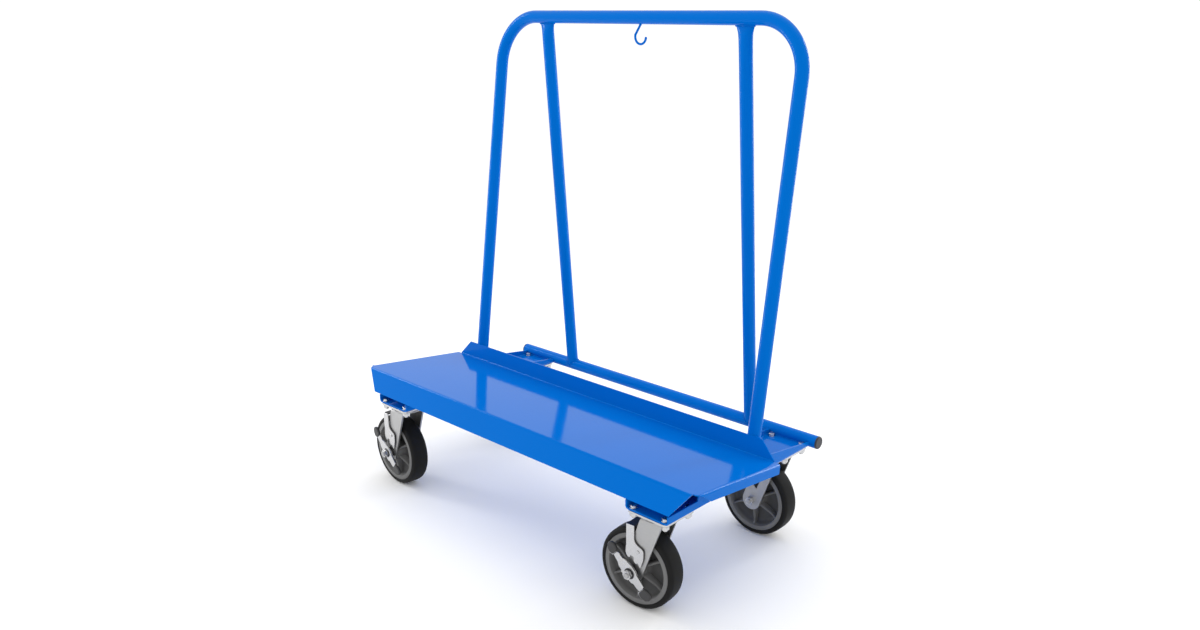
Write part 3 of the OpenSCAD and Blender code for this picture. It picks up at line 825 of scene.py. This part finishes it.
def core_piece(caster):
    """The cast hub, web and rim."""
    bore = span("wheel_bearing_" + caster.corner).z / 2
    half = [(bore, HUB_END), (HUB_R - 1.5 * MM, HUB_END), (HUB_R, 27.6 * MM), (HUB_R + 1.5 * MM, 24 * MM),
            (HUB_R + 4 * MM, 12 * MM), (HUB_R + 8 * MM, WEB + 2 * MM), (HUB_R + 12 * MM, WEB),
            (RIM_INSIDE - 14 * MM, WEB), (RIM_INSIDE - 7 * MM, WEB + 1.5 * MM),
            (RIM_INSIDE - 3 * MM, 10 * MM), (RIM_INSIDE - 0.8 * MM, FLANK - 1.5 * MM), (RIM_INSIDE, FLANK),
            (RIM_R - 0.6 * MM, FLANK), (RIM_R, FLANK - 0.6 * MM)]
    name = "wheel_core_" + caster.corner + "_piece"
    hand_over_core(lathe(name, both_sides(half), 96, Matrix.Identity(4), 50.0), caster)


def rib_piece(caster, spokes):
    """The core's ribs, each tapering from its root to a narrow crest."""
    outline = both_sides([(HUB_R - 3 * MM, 25 * MM), (HUB_R + 3 * MM, 24 * MM),
                          (RIM_INSIDE - 16 * MM, 16 * MM), (RIM_INSIDE - 6 * MM, 16.5 * MM),
                          (RIM_INSIDE + 1 * MM, 20 * MM)])
    rib = bmesh.new()
    sections = []
    for thick, inset in ((-3.2, 2.4), (-2.0, 0.5), (-1.1, 0.0), (1.1, 0.0), (2.0, 0.5), (3.2, 2.4)):
        sections.append([rib.verts.new((radius, along - math.copysign(inset * MM, along), thick * MM))
                         for radius, along in outline])
    skin(rib, sections)
    pattern = from_bmesh("rib", rib, 50.0)
    ribs = add_object("wheel_ribs_" + caster.corner + "_piece", bpy.data.meshes.new("ribs"))
    spokes.run(ribs, Piece=pattern, Count=6, First_turn=math.radians(30), Finish=MATERIALS["wheel_grey"])
    bpy.data.objects.remove(pattern)
    hand_over_core(ribs, caster)


def tyre_piece(caster):
    """The solid tyre with its rounded shoulders."""
    half = [(RIM_R + 0.1 * MM, TYRE_FLANK - 1.6 * MM), (RIM_R + 0.8 * MM, TYRE_FLANK - 0.5 * MM),
            (RIM_R + 2 * MM, TYRE_FLANK), (TYRE_R - SHOULDER_R - 1 * MM, TYRE_FLANK - 0.2 * MM)]
    half += arc((TYRE_R - SHOULDER_R - 0.5 * MM, TYRE_FLANK - SHOULDER_R - 0.3 * MM), SHOULDER_R, 84, 10, 8)
    half += [(TYRE_R - 0.2 * MM, TYRE_FLANK - SHOULDER_R - 4 * MM), (TYRE_R, 0.8 * MM)]
    tyre = lathe("tyre_" + caster.corner + "_piece", both_sides(half), 120, caster.at_axle(), 60.0)
    hand_over(tyre, "wheel_" + caster.corner, "tyre_rubber", "tyre_" + caster.corner)


# ---- brake ----
# outlines in millimetres: the strap's and tab's from the swivel axis and the floor, the others' from the axle
ARM = [(-65, 221), (-43.5, 221), (-43.5, 188), (-42.4, 182.5), (-39, 177.5), (-33, 173), (-25.5, 170),
       (-20.5, 167), (-17.8, 162.5), (-17.5, 143), (-19.6, 136), (-25.4, 119), (-28.5, 122), (-32.5, 129),
       (-35.5, 126.6), (-39.5, 127), (-43, 130.5), (-44.2, 135), (-44.2, 142.5), (-52.8, 144), (-54, 138.4),
       (-57.5, 136.6), (-62, 139.5), (-65.6, 145), (-66.5, 151), (-66.3, 160), (-65, 168)]
TAB = [(-64.6, 218.3), (-43.9, 218.3), (-43.9, 221), (-64.6, 221)]
ROCKER = [(-56, -6), (-56, 7), (-50, 10.5), (-45, 8.5), (-37, 9.5), (-31, 13), (-12, 17.3), (5, 17.3),
          (14, 14), (30, 12.4), (43, 11), (46, 7), (46, -6), (38, -8.5), (24, -9), (20, -12.8), (12, -14),
          (6, -14), (5, -18), (-16, -18), (-17.5, -14.5), (-29, -13.8), (-37, -9), (-47, -8)]
UPPER_PAD = [(-57, -8), (-57, 9), (-64, 13.4), (-74, 15.4), (-82, 12), (-85.8, 4.5), (-82.5, -3), (-75, -9.5),
             (-66, -12)]
LOWER_PAD = [(46.6, -11), (46.6, 9), (54, 13.6), (65, 15.4), (73.6, 12), (76, 2.5), (72, -7.5), (62.5, -13),
             (53, -13.8)]
# how far the pads' light edges sit below them, in millimetres
PAD_EDGE_DROP = 3.6
# (radius, y) in millimetres, with minus y on the wheel's braked side
RIVET = [(0.01, -43.0), (1.8, -43.0), (2.5, -43.5), (3.6, -43.5), (4.4, -42.9), (4.4, -41.8), (3.0, -41.7),
         (3.0, -30), (0.01, -30)]
SEAT = [(6.6, -50.35), (13.4, -50.35), (14.2, -49.6), (14.2, -36.6), (6.6, -36.6)]
RIVET_PLACE = Vector((-32.4, 0, 158)) * MM
# inner and outer faces, out from the wheel's middle plane
ARM_FACES = (38.5 * MM, 41.5 * MM)
TAB_FACES = (-24 * MM, 40.8 * MM)
ROCKER_FACES = (43.4 * MM, 50.0 * MM)
PAD_FACES = (43.4 * MM, 51.8 * MM)
PAD_EDGE_FACES = (45.6 * MM, 47.2 * MM)


def metres(outline):
    """An outline in millimetres turned into metres."""
    return [(a * MM, b * MM) for a, b in outline]


def slab(name, outline, faces, place, round_r, segments=3):
    """An outline of (x, y) in millimetres between two heights, its edges rounded, then placed."""
    shape = bmesh.new()
    rings = [[shape.verts.new((a, b, height)) for a, b in metres(outline)] for height in faces]
    skin(shape, rings)
    shape.transform(place)
    piece = from_bmesh(name, shape, 180.0)
    return round_edges(piece, round_r, segments, 40.0, 4.0 * MM)


def on_side(caster):
    """Places what is drawn in (along, up) with its heights out from the wheel's middle plane."""
    return caster.at_post() @ Matrix.Rotation(math.pi / 2, 4, "X")


def on_rocker(sizes, caster):
    """Places what is drawn along the rocker from the axle, with its heights out from the middle plane."""
    return (caster.at_axle() @ Matrix.Rotation(sizes.pedal_angle, 4, "Y")
            @ Matrix.Rotation(math.pi / 2, 4, "X"))


def brake_pieces(sizes, caster):
    """The strap with its bent-in tab and shoe, its rivet, and the rocker with its two pads."""
    corner = caster.corner
    arm, pedal = "brake_arm_" + corner, "pedal_" + corner
    side = on_side(caster)
    strap = slab(arm + "_piece", ARM, ARM_FACES, side, 0.9 * MM)
    hand_over(strap, arm, "bright_zinc", arm)
    tab = slab("brake_tab_" + corner + "_piece", TAB, TAB_FACES, side, 0.5 * MM)
    hand_over(tab, arm, "dark_steel", arm)
    dressed("brake_shoe_" + corner, arm, "dark_steel", 0.8 * MM)

    rivet_at = caster.at_post() @ Matrix.Translation(RIVET_PLACE)
    rivet = lathe("guide_rivet_" + corner + "_piece", metres(RIVET), 32, rivet_at, 40.0)
    hand_over(rivet, "swivel_" + corner, "bright_zinc", "guide_rivet_" + corner)

    rocker_at = on_rocker(sizes, caster)
    rocker = slab(pedal + "_piece", ROCKER, ROCKER_FACES, rocker_at, 1.6 * MM)
    hand_over(rocker, pedal, "bright_zinc", pedal)
    seat = lathe("pedal_seat_" + corner + "_piece", metres(SEAT), 48, caster.at_axle())
    hand_over(seat, pedal, "dark_steel", pedal)
    for name, outline, reach in (("upper_", UPPER_PAD, -1), ("lower_", LOWER_PAD, 1)):
        pad = slab("pedal_pad_" + name + corner + "_piece", outline, PAD_FACES, rocker_at, 3.2 * MM, 5)
        hand_over(pad, pedal, "pad_plastic", "pedal_pads_" + corner)
        edge_outline = [(a - reach, b - PAD_EDGE_DROP) for a, b in outline]
        edge_name = "pedal_edge_" + name + corner + "_piece"
        edge = slab(edge_name, edge_outline, PAD_EDGE_FACES, rocker_at, 0.5 * MM)
        hand_over(edge, pedal, "bright_zinc", pedal)


# ---- operators ----
class CART_OT_stage(bpy.types.Operator):
    """Sets up the floor, the soft lights and the camera"""

    bl_idname = "cart.stage"
    bl_label = "Stage"

    def execute(self, context):
        stage = context.scene.cart_stage
        shape = bmesh.new()
        bmesh.ops.create_grid(shape, x_segments=1, y_segments=1, size=stage.floor_size / 2)
        floor = from_bmesh("floor", shape)
        finish = Finish("floor")
        finish.set(BaseColor=(0.98, 0.98, 0.98, 1.0), Roughness=0.9, SpecularIORLevel=0.1)
        floor.data.materials.append(finish.material)

        world = bpy.data.worlds.new("studio")
        context.scene.world = world
        world.use_nodes = True
        background = world.node_tree.nodes["Background"]
        background.inputs["Color"].default_value = (1.0, 1.0, 1.0, 1.0)
        background.inputs["Strength"].default_value = stage.surround
        for name, place, aim, size, power in (
                ("ceiling", (0.3, 0.4, 3.4), (0, 0, 0.6), (3.2, 2.2), stage.ceiling_power),
                ("left_strip", (-2.6, -0.9, 1.32), (0, 0, 1.32), (0.45, 2.6), stage.strip_power),
                ("right_strip", (0.95, 2.7, 1.32), (0, 0, 1.32), (0.45, 2.6), stage.strip_power)):
            light = bpy.data.lights.new(name, "AREA")
            light.shape = "RECTANGLE"
            light.size, light.size_y = size
            light.energy = power
            lamp = bpy.data.objects.new(name, light)
            lamp.location = place
            lamp.rotation_euler = (Vector(aim) - Vector(place)).to_track_quat("-Z", "Y").to_euler()
            context.scene.collection.objects.link(lamp)

        camera = bpy.data.objects.new("camera", bpy.data.cameras.new("camera"))
        camera.data.lens = stage.lens
        camera.data.shift_x = stage.shift_x
        camera.data.shift_y = stage.shift_y
        camera.matrix_world = (Matrix.Translation(stage.place) @ Matrix.Rotation(stage.turn, 4, "Z")
                               @ Matrix.Rotation(math.pi / 2 - stage.dip, 4, "X")
                               @ Matrix.Rotation(stage.roll, 4, "Z"))
        context.scene.collection.objects.link(camera)
        context.scene.camera = camera
        context.scene.view_settings.view_transform = "Standard"
        return {"FINISHED"}


class CART_OT_deck(bpy.types.Operator):
    """Dresses the folded deck and the two cross channels"""

    bl_idname = "cart.deck"
    bl_label = "Deck and channels"

    def execute(self, context):
        deck_piece(context.scene.cart_sizes)
        channel_pieces(context.scene.cart_sizes)
        return {"FINISHED"}


class CART_OT_frame(bpy.types.Operator):
    """Makes the hoop, the rear legs, the rear tube with its caps, the hook and the weld beads"""

    bl_idname = "cart.frame"
    bl_label = "Frame tubes"

    def execute(self, context):
        sizes = context.scene.cart_sizes
        hoop_piece()
        rear_leg_pieces(sizes)
        rear_tube_piece()
        hook_piece()
        weld_pieces(sizes, bead_group())
        return {"FINISHED"}


class CART_OT_casters(bpy.types.Operator):
    """Makes the fasteners and the four casters with their wheels and brakes"""

    bl_idname = "cart.casters"
    bl_label = "Casters"

    def execute(self, context):
        sizes = context.scene.cart_sizes
        fastener_pieces(scatter_group())
        spokes = spokes_group()
        dressed("caster_plates", "cart", "bright_zinc", 0.4 * MM)
        dressed("kingpins", "cart", "zinc_plate", 0.4 * MM)
        balls = from_bmesh("swivel_balls_piece", cad_copy("swivel_balls"), 60.0)
        hand_over(balls, "cart", "bearing_steel", "swivel_balls")
        for caster in CASTERS:
            corner = caster.corner
            swivel, wheel = "swivel_" + corner, "wheel_" + corner
            dressed("yoke_" + corner, swivel, "zinc_plate", 0.8 * MM)
            dressed("axle_bolt_" + corner, swivel, "zinc_plate", 0.5 * MM)
            dressed("axle_nut_" + corner, swivel, "bright_zinc", 0.5 * MM)
            dressed("axle_sleeve_" + corner, swivel, "zinc_plate", 0.3 * MM)
            core_piece(caster)
            rib_piece(caster, spokes)
            tyre_piece(caster)
            dressed("wheel_bearing_" + corner, wheel, "bearing_steel", 0.2 * MM)
            if caster.braked:
                brake_pieces(sizes, caster)
        return {"FINISHED"}


# ---- properties, panel and registration ----
def colour_property(name, description, default):
    """A colour that a user can change."""
    return bpy.props.FloatVectorProperty(name=name, description=description, default=default + (1.0,),
                                         size=4, subtype="COLOR", min=0.0, max=1.0)


class CartSizes(bpy.types.PropertyGroup):
    """Sizes that a user would change"""

    edge_round: bpy.props.FloatProperty(
        name="Edge rounding", description="Rounding of the sheet's cut edges",
        default=0.6 * MM, unit="LENGTH")
    head_flare: bpy.props.FloatProperty(
        name="Head flare", description="How much wider the rear legs' heads are, as a part of their width",
        default=0.55, subtype="FACTOR", min=0.0, max=0.6)
    bead_width: bpy.props.FloatProperty(
        name="Bead width", description="Width of the weld beads", default=6.0 * MM, unit="LENGTH")
    bead_pitch: bpy.props.FloatProperty(
        name="Bead pitch", description="Distance between a weld bead's ripples",
        default=2.4 * MM, unit="LENGTH")
    pedal_angle: bpy.props.FloatProperty(
        name="Pedal angle", description="Angle of the pedal's lower end below level",
        default=math.radians(43.5), subtype="ANGLE")


class CartColours(bpy.types.PropertyGroup):
    """Colours of the finishes"""

    paint: colour_property("Paint", "Colour of the powder coat", (0.0, 0.138, 0.56))
    zinc: colour_property("Zinc", "Colour of the dull zinc plate", (0.43, 0.43, 0.43))
    bright_zinc: colour_property("Bright zinc", "Colour of the bright zinc plate", (0.57, 0.57, 0.575))
    dark_steel: colour_property("Dark steel", "Colour of the blackened steel", (0.055, 0.055, 0.058))
    casting: colour_property("Casting", "Colour of the wheels' cores", (0.128, 0.128, 0.128))
    rubber: colour_property("Rubber", "Colour of the tyres", (0.0085, 0.0085, 0.0085))
    cap: colour_property("Caps", "Colour of the tube caps", (0.020, 0.021, 0.028))
    pad: colour_property("Pads", "Colour of the pedal pads", (0.026, 0.026, 0.027))


class CartStage(bpy.types.PropertyGroup):
    """The studio's lights and camera"""

    floor_size: bpy.props.FloatProperty(
        name="Floor", description="Length of the square floor's sides", default=40.0, unit="LENGTH")
    surround: bpy.props.FloatProperty(name="Surround", description="Brightness all round", default=1.06)
    ceiling_power: bpy.props.FloatProperty(
        name="Ceiling", description="Power overhead", default=10.0, unit="POWER")
    strip_power: bpy.props.FloatProperty(
        name="Strips", description="Power of each strip", default=24.0, unit="POWER")
    place: bpy.props.FloatVectorProperty(
        name="Place", description="Where the camera stands", default=(1.7224, -1.7214, 1.2871),
        subtype="TRANSLATION")
    turn: bpy.props.FloatProperty(
        name="Turn", description="Turn to the left from +Y", default=math.radians(41.58), subtype="ANGLE")
    dip: bpy.props.FloatProperty(
        name="Dip", description="How far the camera looks down", default=math.radians(18.59),
        subtype="ANGLE")
    roll: bpy.props.FloatProperty(
        name="Roll", description="Roll of the camera", default=math.radians(0.46), subtype="ANGLE")
    lens: bpy.props.FloatProperty(name="Lens", description="Focal length on a 36 mm frame", default=29.19)
    shift_x: bpy.props.FloatProperty(
        name="Shift X", description="Sideways shift of the frame", default=-0.0312)
    shift_y: bpy.props.FloatProperty(
        name="Shift Y", description="Upward shift of the frame", default=0.0267)


STEPS = (CART_OT_stage, CART_OT_deck, CART_OT_frame, CART_OT_casters)


class CART_PT_panel(bpy.types.Panel):
    """Lists the cart's sizes, colours, studio and pieces"""

    bl_idname = "CART_PT_panel"
    bl_label = "Drywall cart"
    bl_space_type = "VIEW_3D"
    bl_region_type = "UI"
    bl_category = "Cart"

    def draw(self, context):
        for settings in (context.scene.cart_sizes, context.scene.cart_colours, context.scene.cart_stage):
            box = self.layout.box()
            for name in settings.bl_rna.properties.keys():
                if name not in ("rna_type", "name"):
                    box.prop(settings, name)
        for step in STEPS:
            self.layout.operator(step.bl_idname)


CLASSES = (CartSizes, CartColours, CartStage) + STEPS + (CART_PT_panel,)


def register():
    for cls in CLASSES:
        bpy.utils.register_class(cls)
    bpy.types.Scene.cart_sizes = bpy.props.PointerProperty(type=CartSizes)
    bpy.types.Scene.cart_colours = bpy.props.PointerProperty(type=CartColours)
    bpy.types.Scene.cart_stage = bpy.props.PointerProperty(type=CartStage)


def unregister():
    del bpy.types.Scene.cart_stage
    del bpy.types.Scene.cart_colours
    del bpy.types.Scene.cart_sizes
    for cls in reversed(CLASSES):
        bpy.utils.unregister_class(cls)


def main():
    register()
    make_materials(bpy.context.scene.cart_colours)
    for step in STEPS:
        section, name = step.bl_idname.split(".")
        getattr(getattr(bpy.ops, section), name)()


if __name__ == "__main__":
    main()
